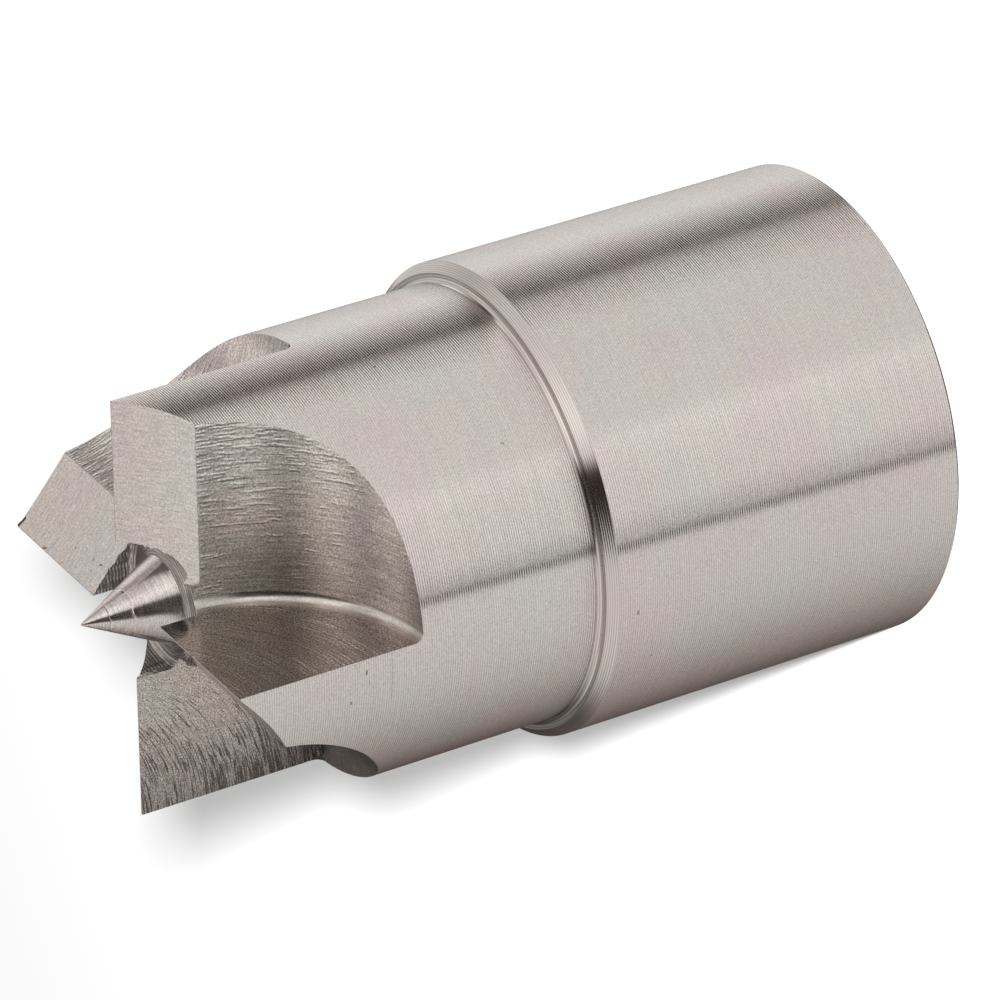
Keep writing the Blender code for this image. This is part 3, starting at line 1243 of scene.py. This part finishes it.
@dataclass(frozen=True)
class SteelFinish:
    """What one tool leaves on the steel, with any painted light and shade on top. Lengths are in
    millimetres of the tool-mark map.

    Attributes:
        name: The material's name.
        colour: Base colour in clean light.
        roughness: Roughness between the streaks.
        spread: How far the streaks change the roughness.
        anisotropic: How far reflections are drawn out across the marks.
        streak_span: The part of the streak noise that the shading covers; narrow is hard.
        pitch: Distance between feed marks, or 0 for none.
        groove: Height of the feed marks.
        wander: How far the feed marks waver, in pitches.
        across: Streaks to the millimetre across the marks.
        along: Streaks to the millimetre along the marks.
        scratch: Height of the broad streaks.
        fine: Height of the fine streaks.
        shade: How far streaks darken the colour.
        turned: 1 where the second map coordinate goes round the axis.
        pit_share: Share of one-millimetre cells that hold a speck.
        painted_valley_shade: How far painted shade darkens the bottoms of the feed marks.
        speckle: How far a fine grain changes the colour.
        dark_dash: How far torn dashes darken the colour.
        painted_glint_dash: How far the raised bright dashes lighten it, a painted glint.
        dash_level: Noise level that a dash must pass.
        dash_size: Dashes to the millimetre, across and along the marks.
        dash_lean: Change of that level to the millimetre, across and along the marks.
        patches: How strongly dashes gather in patches.
        tear: Depth of the torn dashes.
        painted_light_bands: Strength of the painted light and dark bands across the tool's path.
        cutter: Radius of the cutter that swept a flat face, or 0 where the map is already bent.
        scratches_and_shade: Scratch marks, specks and patches of painted shade of their own places on the
            tool-mark map.
        painted_shade_in_frame: Patches of painted shade of their own places in the part's frame.
    """

    name: str
    colour: tuple = (0.60, 0.55, 0.53)
    roughness: float = 0.3
    spread: float = 0.06
    anisotropic: float = 0.95
    streak_span: tuple = (0.3, 0.7)
    pitch: float = 0.0
    groove: float = 0.0
    wander: float = 0.3
    across: float = 4.0
    along: float = 0.2
    scratch: float = 0.002
    fine: float = 0.0005
    shade: float = 0.1
    turned: float = 0.0
    pit_share: float = 0.012
    painted_valley_shade: float = 0.0
    speckle: float = 0.06
    dark_dash: float = 0.0
    painted_glint_dash: float = 0.0
    dash_level: float = 0.58
    dash_size: tuple = (4.0, 0.4)
    dash_lean: tuple = (0.0, 0.0)
    patches: float = 1.2
    tear: float = 0.02
    painted_light_bands: float = 0.0
    cutter: float = 0.0
    scratches_and_shade: tuple = ()
    painted_shade_in_frame: tuple = ()

    def build(self, effects: SharedEffects) -> bpy.types.Material:
        """Makes the material: a Principled BSDF fed by the shared groups.

        Args:
            effects: The shared groups.

        Returns:
            The material.
        """
        material = bpy.data.materials.new(self.name)
        material.use_nodes = True
        tree = material.node_tree
        tree.nodes.clear()
        placed = put(tree, "ShaderNodeUVMap", {}, uv_map=MARKS_MAP).outputs[0]
        marks = placed
        if self.cutter:
            marks = grouped(tree, effects.arcs, {"Marks": placed, "Radius": self.cutter})["Marks"]
        position = put(tree, "ShaderNodeTexCoord", {}).outputs["Object"]
        layers = Layers(tree, effects, placed, marks, position)
        fine = self.add_streaks(layers)
        self.add_grain(layers)
        if self.pitch:
            self.add_feed_marks(layers)
        if self.dark_dash or self.painted_glint_dash:
            self.add_dashes(layers)
        if self.painted_light_bands:
            self.add_painted_light_bands(layers)
        self.add_scratches_and_shade(layers)
        self.add_shader(layers, fine)
        return material

    def add_streaks(self, layers: Layers) -> Socket:
        """Adds the fine marks along the tool's path.

        Args:
            layers: Changed here: the shading so far.

        Returns:
            The finest of the marks, which the roughness follows.
        """
        size = {"Across": self.across, "Along": self.along, "Turned": self.turned}
        streaks = grouped(layers.tree, layers.effects.streaks, {"Marks": layers.marks, **size})
        layers.lift(streaks["Value"], self.scratch)
        layers.lift(streaks["Fine"], self.fine)
        layers.darken(streaks["Value"], 1.0 - self.shade, 1.0, self.streak_span)
        return streaks["Fine"]

    def add_grain(self, layers: Layers) -> None:
        """Adds dark specks, and a fine grain that lightens and darkens.

        Args:
            layers: Changed here: the shading so far.
        """
        spread = {"Position": layers.position, "Density": PIT_DENSITY, "Share": self.pit_share}
        pits = grouped(layers.tree, layers.effects.pits, spread)["Mask"]
        layers.darken(pits, 1.0, PIT_SHADE)
        if self.speckle:
            grain = noise(layers.tree, layers.position, GRAIN_SCALE, 2.0)["Fac"]
            layers.darken(grain, 1.0 - self.speckle, 1.0 + self.speckle, (0.3, 0.7))

    def add_feed_marks(self, layers: Layers) -> None:
        """Adds the regular marks of the feed, with painted shade in their valleys.

        Args:
            layers: Changed here: the shading so far.
        """
        size = {"Marks": layers.marks, "Pitch": self.pitch, "Wander": self.wander}
        feed = grouped(layers.tree, layers.effects.grooves, size)["Height"]
        layers.lift(feed, self.groove)
        layers.darken(feed, 1.0 - self.painted_valley_shade, 1.0)

    def add_dashes(self, layers: Layers) -> None:
        """Adds torn dark dashes, and raised bright ones beside them whose brightness is a painted glint.

        Args:
            layers: Changed here: the shading so far.
        """
        tree, marks = layers.tree, layers.marks
        lean = measured(tree, "DOT_PRODUCT", marks, (*self.dash_lean, 0.0))
        level = math_node(tree, "ADD", lean, self.dash_level)
        across, along = self.dash_size
        size = {"Across": across, "Along": along, "Level": level}
        if self.dark_dash:
            values = {"Marks": marks, "Patches": self.patches, **size}
            torn = grouped(tree, layers.effects.dashes, values)["Mask"]
            layers.lift(torn, -self.tear)
            layers.darken(torn, 1.0, 1.0 - self.dark_dash)
        if self.painted_glint_dash:
            beside = vector_node(tree, "ADD", marks, BRIGHT_DASH_SHIFT)
            values = {"Marks": beside, "Patches": 2.0 * self.patches, **size}
            painted_glints = grouped(tree, layers.effects.dashes, values)["Mask"]
            layers.lift(painted_glints, 0.5 * self.tear)
            layers.darken(painted_glints, 1.0, 1.0 + self.painted_glint_dash)

    def add_painted_light_bands(self, layers: Layers) -> None:
        """Adds painted light and shade, broad bands across the tool's path: 1 + strength cos(2 pi v /
        period - phase).

        Args:
            layers: Changed here: the shading so far.
        """
        tree = layers.tree
        path = apart(tree, layers.marks)[1]
        phase = math_node(tree, "MULTIPLY", path, 2.0 * math.pi / PAINTED_BAND_PERIOD)
        wave = math_node(tree, "COSINE", math_node(tree, "SUBTRACT", phase, PAINTED_BAND_PHASE))
        layers.darken(wave, 1.0 - self.painted_light_bands, 1.0 + self.painted_light_bands, (-1.0, 1.0))

    def add_scratches_and_shade(self, layers: Layers) -> None:
        """Adds scratch marks and patches of painted shade of their own places.

        Args:
            layers: Changed here: the shading so far.
        """
        lines = [(layers.placed, mark) for mark in self.scratches_and_shade]
        lines += [(layers.position, mark) for mark in self.painted_shade_in_frame]
        for where, mark in lines:
            values = {
                "Marks": where,
                "Start": (*mark.start, 0.0)[:3],
                "End": (*mark.end, 0.0)[:3],
                "Near": mark.half_width * (1.0 - mark.soft),
                "Far": mark.half_width * (1.0 + mark.soft),
            }
            line = grouped(layers.tree, layers.effects.scratch_and_shade_line, values)["Mask"]
            layers.darken(line, 1.0, mark.factor)

    def add_shader(self, layers: Layers, fine: Socket) -> None:
        """Adds the steel's shader on top of the shading.

        Args:
            layers: The finished shading.
            fine: The marks that the roughness follows.
        """
        tree = layers.tree
        tint = {"Position": layers.position, "Colour": (*self.colour, 1.0), "Strength": TINT_STRENGTH}
        tint["Shade"] = layers.merged("MULTIPLY", layers.shades)
        bump = {"Height": layers.merged("ADD", layers.heights), "Strength": 1.0, "Distance": 1.0}
        tangent = put(tree, "ShaderNodeTangent", {}, direction_type="UV_MAP", uv_map=MARKS_MAP)
        low, high = self.roughness - self.spread, self.roughness + self.spread
        values = {
            "Base Color": grouped(tree, layers.effects.tint, tint)["Colour"],
            "Roughness": between(tree, fine, low, high),
            "Metallic": 1.0,
            "Normal": put(tree, "ShaderNodeBump", bump).outputs[0],
            "Anisotropic": self.anisotropic,
            "Tangent": tangent.outputs[0],
        }
        shader = put(tree, "ShaderNodeBsdfPrincipled", values)
        put(tree, "ShaderNodeOutputMaterial", {"Surface": shader.outputs[0]})


TURNED_SCRATCHES = (
    ScratchAndShade((34.18, -14.9), (34.17, -17.4), 0.03, 0.7),
    ScratchAndShade((34.02, -15.3), (34.04, -17.0), 0.025, 0.8),
    ScratchAndShade((36.44, -15.52), (36.47, -15.6), 0.09, 0.4),
    ScratchAndShade((36.23, -16.0), (36.2, -16.2), 0.05, 0.6),
    ScratchAndShade((37.8, -16.88), (37.82, -16.9), 0.08, 0.4),
    ScratchAndShade((10.86, -16.21), (10.9, -16.27), 0.09, 0.5),
    ScratchAndShade((20.47, -7.67), (20.7, -7.6), 0.05, 0.6),
    ScratchAndShade((33.86, -18.9), (35.0, -21.2), 0.035, 1.18),
    ScratchAndShade((33.7, -19.1), (34.5, -20.9), 0.025, 0.85),
)

# Dark lines of painted shade in the crease where each bevel meets the milled back, then a very dark tip, a
# nick and specks on one.
BEVEL_SCRATCHES_AND_SHADE = (
    *(ScratchAndShade((2.6, down), (18.6, down), 0.05, 0.6) for down in (7.24, 25.64, 44.04, 62.44)),
    ScratchAndShade((18.42, 18.4), (18.2, 19.15), 0.14, 0.1),
    ScratchAndShade((14.1, 18.45), (13.8, 18.6), 0.09, 0.35),
    ScratchAndShade((10.71, 20.08), (10.73, 20.1), 0.07, 0.35),
    ScratchAndShade((8.06, 20.29), (8.0, 20.4), 0.06, 0.4),
    ScratchAndShade((6.95, 20.38), (6.75, 20.5), 0.08, 0.35),
    ScratchAndShade((7.5, 19.58), (7.52, 19.6), 0.07, 0.4),
)

# Painted shade on the torn faces: darker outwards, and darkest along the foot of the pocket, where it lies
# in shade.
FACE_PAINTED_SHADE = (
    ScratchAndShade((3.0, 70.0), (3.0, 50.0), 8.0, 0.55, soft=0.9),
    ScratchAndShade((-5.0, 49.5), (3.0, 49.5), 4.5, 0.4, soft=0.7),
)

# Painted shade: the shoulder's corner is darker on one side, standing in for a dark reflection.
SHOULDER_PAINTED_SHADE = (ScratchAndShade((14.0, -23.5), (14.0, -27.0), 2.2, 0.4, soft=0.9),)

# Painted shade: one pocket's wall is darker along its foot.
WALL_PAINTED_SHADE = (
    ScratchAndShade((-0.017, -0.003, 0.0497), (-0.013, -0.012, 0.051), 3.5 * MM, 0.27, soft=0.5),
)

# Painted light in these finishes: shade in the feed marks' valleys, glints on the bright dashes, light and
# dark bands on the milled walls and corners, and the patches of painted shade listed above.
FINISHES = {
    Region.TURNED: SteelFinish(
        "turned_steel", colour=(0.635, 0.585, 0.565), pitch=0.212, groove=0.018, roughness=0.18,
        anisotropic=0.97, turned=1.0, across=5.0, along=0.05, scratch=0.0006, fine=0.0001,
        shade=0.06, painted_valley_shade=0.24, speckle=0.15, scratches_and_shade=TURNED_SCRATCHES,
    ),
    Region.SHOULDER: SteelFinish(
        "shoulder_steel", colour=(0.66, 0.61, 0.59), pitch=0.27, groove=0.008, roughness=0.13,
        anisotropic=0.8, turned=1.0, across=9.0, along=0.05, shade=0.12, painted_valley_shade=0.35,
        spread=0.03, speckle=0.03, scratches_and_shade=SHOULDER_PAINTED_SHADE,
    ),
    Region.POINT: SteelFinish(
        "point_steel", colour=(0.66, 0.61, 0.59), pitch=0.17, groove=0.004, roughness=0.18,
        anisotropic=0.95, turned=1.0, across=8.0, along=0.05, scratch=0.0006, shade=0.2,
        painted_valley_shade=0.14, speckle=0.18, streak_span=(0.4, 0.6),
    ),
    Region.RECESS: SteelFinish(
        "recess_steel", colour=(0.53, 0.47, 0.445), roughness=0.3, anisotropic=0.8, turned=1.0,
        across=6.0, along=0.1, scratch=0.004, shade=0.45, pitch=0.3, groove=0.02, painted_valley_shade=0.5,
        speckle=0.2,
    ),
    Region.MILLED_WALL: SteelFinish(
        "milled_wall_steel", colour=(0.655, 0.592, 0.56), roughness=0.4, anisotropic=0.6,
        across=6.0, along=0.25, scratch=0.012, fine=0.008, shade=0.28, streak_span=(0.4, 0.6),
        spread=0.12, speckle=0.45, dark_dash=0.45, painted_glint_dash=0.8, dash_level=0.615,
        dash_size=(4.2, 0.42), dash_lean=(-0.0085, 0.0055), patches=0.2, painted_light_bands=0.19,
        painted_shade_in_frame=WALL_PAINTED_SHADE,
    ),
    Region.MILLED_CORNER: SteelFinish(
        "milled_corner_steel", colour=(0.6, 0.55, 0.52), roughness=0.24, anisotropic=0.6,
        across=3.0, along=0.5, scratch=0.004, fine=0.002, shade=0.3, painted_light_bands=0.16, speckle=0.14,
    ),
    Region.DRIVING_FACE: SteelFinish(
        "driving_face_steel", colour=(0.39, 0.35, 0.33), roughness=0.13, anisotropic=0.0,
        across=9.0, along=0.16, scratch=0.001, fine=0.0004, shade=0.3, streak_span=(0.4, 0.6),
        spread=0.04, speckle=0.75, dark_dash=0.35, painted_glint_dash=1.0, dash_level=0.585,
        dash_size=(8.0, 0.2), patches=0.4, tear=0.004, cutter=14.7,
    ),
    Region.TORN_FACE: SteelFinish(
        "torn_face_steel", colour=(0.52, 0.46, 0.43), roughness=0.38, anisotropic=0.0,
        across=9.0, along=0.9, scratch=0.01, fine=0.006, shade=0.28, streak_span=(0.42, 0.58),
        spread=0.12, speckle=0.6, dark_dash=0.65, dash_level=0.478, dash_size=(8.0, 0.3),
        dash_lean=(0.0, -0.0115), patches=0.3, tear=0.03, cutter=14.7, scratches_and_shade=FACE_PAINTED_SHADE,
    ),
    Region.BEVEL: SteelFinish(
        "bevel_steel", colour=(0.665, 0.6, 0.575), roughness=0.36, anisotropic=0.5,
        across=8.0, along=0.7, scratch=0.002, fine=0.002, shade=0.2, streak_span=(0.36, 0.64),
        speckle=0.24, pit_share=0.05, scratches_and_shade=BEVEL_SCRATCHES_AND_SHADE,
    ),
    Region.SOCKET: SteelFinish(
        "socket_steel", colour=(0.45, 0.42, 0.40), roughness=0.35, anisotropic=0.8, turned=1.0,
        pitch=0.25, groove=0.004, across=5.0, along=0.1, shade=0.25,
    ),
}


@dataclass
class DriveCentre:
    """The whole object: one steel piece that stands for the solid in the frame."""

    sizes: Sizes

    def build(self, effects: SharedEffects) -> bpy.types.Object:
        """Turns, mills and bevels the steel, dresses it, and lets it ride on the frame.

        Args:
            effects: The node groups that the finishes share.

        Returns:
            The steel piece.
        """
        steel = TurnedBlank(self.sizes).build()
        tools = ProngTools(self.sizes)
        prongs = range(self.sizes.prongs)
        shaper = SteelMesh(self.sizes)
        shaper.cut(steel, [*map(tools.mill, prongs), *map(tools.bevel, prongs)])
        for region in Region:
            steel.data.materials.append(FINISHES[region].build(effects))
        shaper.dress(steel)
        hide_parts(CAD_NODE)
        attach(steel, BODY)
        return steel


@dataclass
class Studio:
    """A pale floor, one soft lamp, and a bright surround with a few darker parts.

    The surround is three rings of levels by azimuth, in degrees: below the horizon, above it
    and overhead. Azimuths are measured round the turning axis from the side that faces the
    camera, towards the top of the picture, because upright steel mirrors a thin upright strip.
    The rises are the heights, as sines, between which one ring gives way to the next.
    """

    azimuth: float = math.radians(-55.961)
    floor_size: float = 12.0
    floor_colour: tuple = (0.62, 0.62, 0.62)
    low_ring: tuple = (
        (-180, 0.12), (-168, 0.09), (-156, 0.16), (-144, 0.31), (-132, 0.43), (-116, 0.60),
        (-98, 0.79), (-80, 0.91), (-40.3, 1.0), (-39.5, 0.02), (-35.9, 0.02), (-35.1, 1.0),
        (-26, 1.12), (-8, 1.16), (9, 1.22), (20, 1.02), (34, 1.0), (74, 1.03), (80, 1.18),
        (87, 1.24), (90, 0.5), (92.5, 0.03), (100, 0.03), (106, 0.27), (113, 0.66),
        (120, 1.12), (130, 1.2), (145, 0.95), (153, 0.84), (166, 0.78), (169, 0.2), (180, 0.12),
    )
    middle_ring: tuple = (
        (-180, 0.14), (-150, 0.16), (-134, 0.34), (-118, 0.47), (-101, 0.62), (-87, 0.75),
        (-70, 0.86), (-46, 0.86), (-41, 0.35), (-36, 0.07), (-18, 0.05), (0, 0.06), (5, 0.35),
        (10, 0.9), (18, 1.25), (30, 1.36), (42, 1.14), (52, 0.94), (64, 0.8), (80, 0.68),
        (100, 0.66), (120, 0.68), (140, 0.78), (160, 0.74), (166, 0.2), (180, 0.14),
    )
    top_ring: tuple = (
        (-180, 0.95), (-103, 0.98), (-60, 0.97), (-53, 0.84), (-46, 0.2), (-41, 0.06), (-14, 0.04),
        (-2, 0.08), (4, 0.5), (10, 1.1), (20, 1.25), (35, 1.42), (50, 1.34), (62, 1.12),
        (90, 1.0), (112, 0.92), (126, 0.84), (140, 0.9), (180, 0.95),
    )
    room: tuple = (1.0, 0.72, 0.62)
    middle_rise: tuple = (-0.02, 0.25)
    top_rise: tuple = (0.3, 0.62)
    lamp_power: float = 46.0
    lamp_radius: float = 14.0 * MM
    lamp_place: tuple = (-9.0 * MM, 14.0 * MM, 0.0)

    def ring(self, tree: Tree, share: Socket, levels: tuple) -> Socket:
        """A colour ramp round the horizon: level by azimuth, the dark parts tinted by the room.

        Args:
            tree: The world's node tree.
            share: The azimuth as a share of a turn, 0.5 towards the camera.
            levels: Pairs of azimuth and level.

        Returns:
            The colour.
        """
        stops = []
        for degrees, level in levels:
            dim = (1.0 - min(level, 1.0)) ** 2
            tone = [level * (1.0 - dim + dim * part) for part in self.room]
            stops.append((degrees / 360.0 + 0.5, tone))
        return ramp(tree, share, stops)

    def surround(self) -> None:
        """Sets the world. The camera sees it white, and the steel mirrors the rings."""
        world = bpy.data.worlds.new("studio_surround")
        bpy.context.scene.world = world
        world.use_nodes = True
        tree = world.node_tree
        tree.nodes.clear()
        way = put(tree, "ShaderNodeTexCoord", {}).outputs["Generated"]
        ends = {"Vector": way, "Angle": -self.azimuth}
        turned = put(tree, "ShaderNodeVectorRotate", ends, rotation_type="Z_AXIS")
        x, y, z = apart(tree, turned.outputs[0])
        azimuth = math_node(tree, "ARCTAN2", y, x)
        ends = {0: azimuth, 1: 0.5 / math.pi, 2: 0.5}
        share = put(tree, "ShaderNodeMath", ends, operation="MULTIPLY_ADD").outputs[0]
        colour = self.ring(tree, share, self.low_ring)
        for levels, span in ((self.middle_ring, self.middle_rise), (self.top_ring, self.top_rise)):
            rise = between(tree, z, 0.0, 1.0, span)
            colour = mixed(tree, rise, colour, self.ring(tree, share, levels))
        seen = put(tree, "ShaderNodeLightPath", {}).outputs["Is Camera Ray"]
        white = mixed(tree, seen, colour, (1.0, 1.0, 1.0, 1.0))
        back = put(tree, "ShaderNodeBackground", {"Color": white, "Strength": 1.0})
        put(tree, "ShaderNodeOutputWorld", {"Surface": back.outputs[0]})

    def floor(self) -> None:
        """A plain pale floor at z = 0 that keeps the shadow. The steel mirrors the surround."""
        half = self.floor_size / 2.0
        corners = half * np.array([[-1.0, -1.0, 0.0], [1.0, -1.0, 0.0], [1.0, 1.0, 0.0], [-1.0, 1.0, 0.0]])
        ground = linked("studio_floor", corners, [[0, 1, 2, 3]])
        material = bpy.data.materials.new("pale_floor")
        material.use_nodes = True
        shader = material.node_tree.nodes["Principled BSDF"]
        shader.inputs["Base Color"].default_value = (*self.floor_colour, 1.0)
        shader.inputs["Roughness"].default_value = 1.0
        shader.inputs["Specular IOR Level"].default_value = 0.0
        ground.data.materials.append(material)
        ground.visible_glossy = False

    def lamp(self, camera: bpy.types.Object) -> None:
        """One soft lamp just above and left of the camera: its shadow falls close below right.

        Args:
            camera: The camera, whose frame the lamp's place is in.
        """
        light = bpy.data.lights.new("soft_key", "POINT")
        light.energy = self.lamp_power
        light.shadow_soft_size = self.lamp_radius
        lamp = bpy.data.objects.new("soft_key", light)
        bpy.context.scene.collection.objects.link(lamp)
        lamp.location = camera.matrix_world @ Vector(self.lamp_place)
        lamp.visible_glossy = False


@dataclass
class PhotoCamera:
    """The camera at the photograph's viewing angle, fitted to the object's known outline.

    It looks at the object from an azimuth and a height, then rolls until the turning axis
    lies across the picture. The middle of the picture looks past the axis by two offsets.
    """

    focal: float = 6955.444
    picture: float = 1000.0
    sensor: float = 36.0
    elevation: float = math.radians(26.567)
    roll: float = math.radians(17.112)
    facing: float = math.radians(55.961)
    anchor_height: float = 66.978 * MM
    anchor_pixel: tuple = (116.491, 614.113)
    distance: float = 548.959 * MM
    clip: tuple = (0.01, 100.0)

    def build(self) -> bpy.types.Object:
        """Places the camera so that the anchor on the axis falls on its pixel.

        Returns:
            The camera.
        """
        towards = Vector((math.cos(-self.facing), math.sin(-self.facing), 0.0))
        sideways = Vector((0.0, 0.0, 1.0)).cross(towards)
        cos_e, sin_e = math.cos(self.elevation), math.sin(self.elevation)
        cos_r, sin_r = math.cos(self.roll), math.sin(self.roll)
        axis = Vector((-cos_e * cos_r, cos_e * sin_r, -sin_e))
        across = Vector((-sin_r, -cos_r, 0.0))
        near = axis.cross(across)
        if near.z > 0.0:
            near.negate()
        world = Matrix((towards, sideways, Vector((0.0, 0.0, 1.0)))).transposed()
        seen = Matrix((near, across, axis)).transposed()
        turn = world @ seen.transposed()
        past = [(pixel - self.picture / 2.0) / self.focal * self.distance for pixel in self.anchor_pixel]
        offset = Vector((*past, self.distance))
        flip = Matrix(((1, 0, 0), (0, -1, 0), (0, 0, -1)))
        place = Vector((0.0, 0.0, self.anchor_height)) - turn @ offset
        data = bpy.data.cameras.new("photo_camera")
        data.sensor_width = self.sensor
        data.lens = self.focal * self.sensor / self.picture
        data.clip_start, data.clip_end = self.clip
        camera = bpy.data.objects.new("photo_camera", data)
        bpy.context.scene.collection.objects.link(camera)
        camera.matrix_world = Matrix.Translation(place) @ (turn @ flip).to_4x4()
        bpy.context.scene.camera = camera
        bpy.context.view_layer.update()
        return camera


def main() -> None:
    """Loads the frame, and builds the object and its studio."""
    logging.basicConfig(level=logging.INFO, format="%(name)s: %(message)s")
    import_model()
    low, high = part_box(CAD_NODE)
    sizes = Sizes(length=high.z - low.z, barrel_radius=(high.x - low.x) / 2.0)
    bpy.context.scene.view_settings.view_transform = "Standard"
    studio = Studio()
    camera = PhotoCamera().build()
    steel = DriveCentre(sizes).build(SharedEffects())
    LOG.info("%s: %d faces", steel.name, len(steel.data.polygons))
    studio.surround()
    studio.floor()
    studio.lamp(camera)


if __name__ == "__main__":
    main()
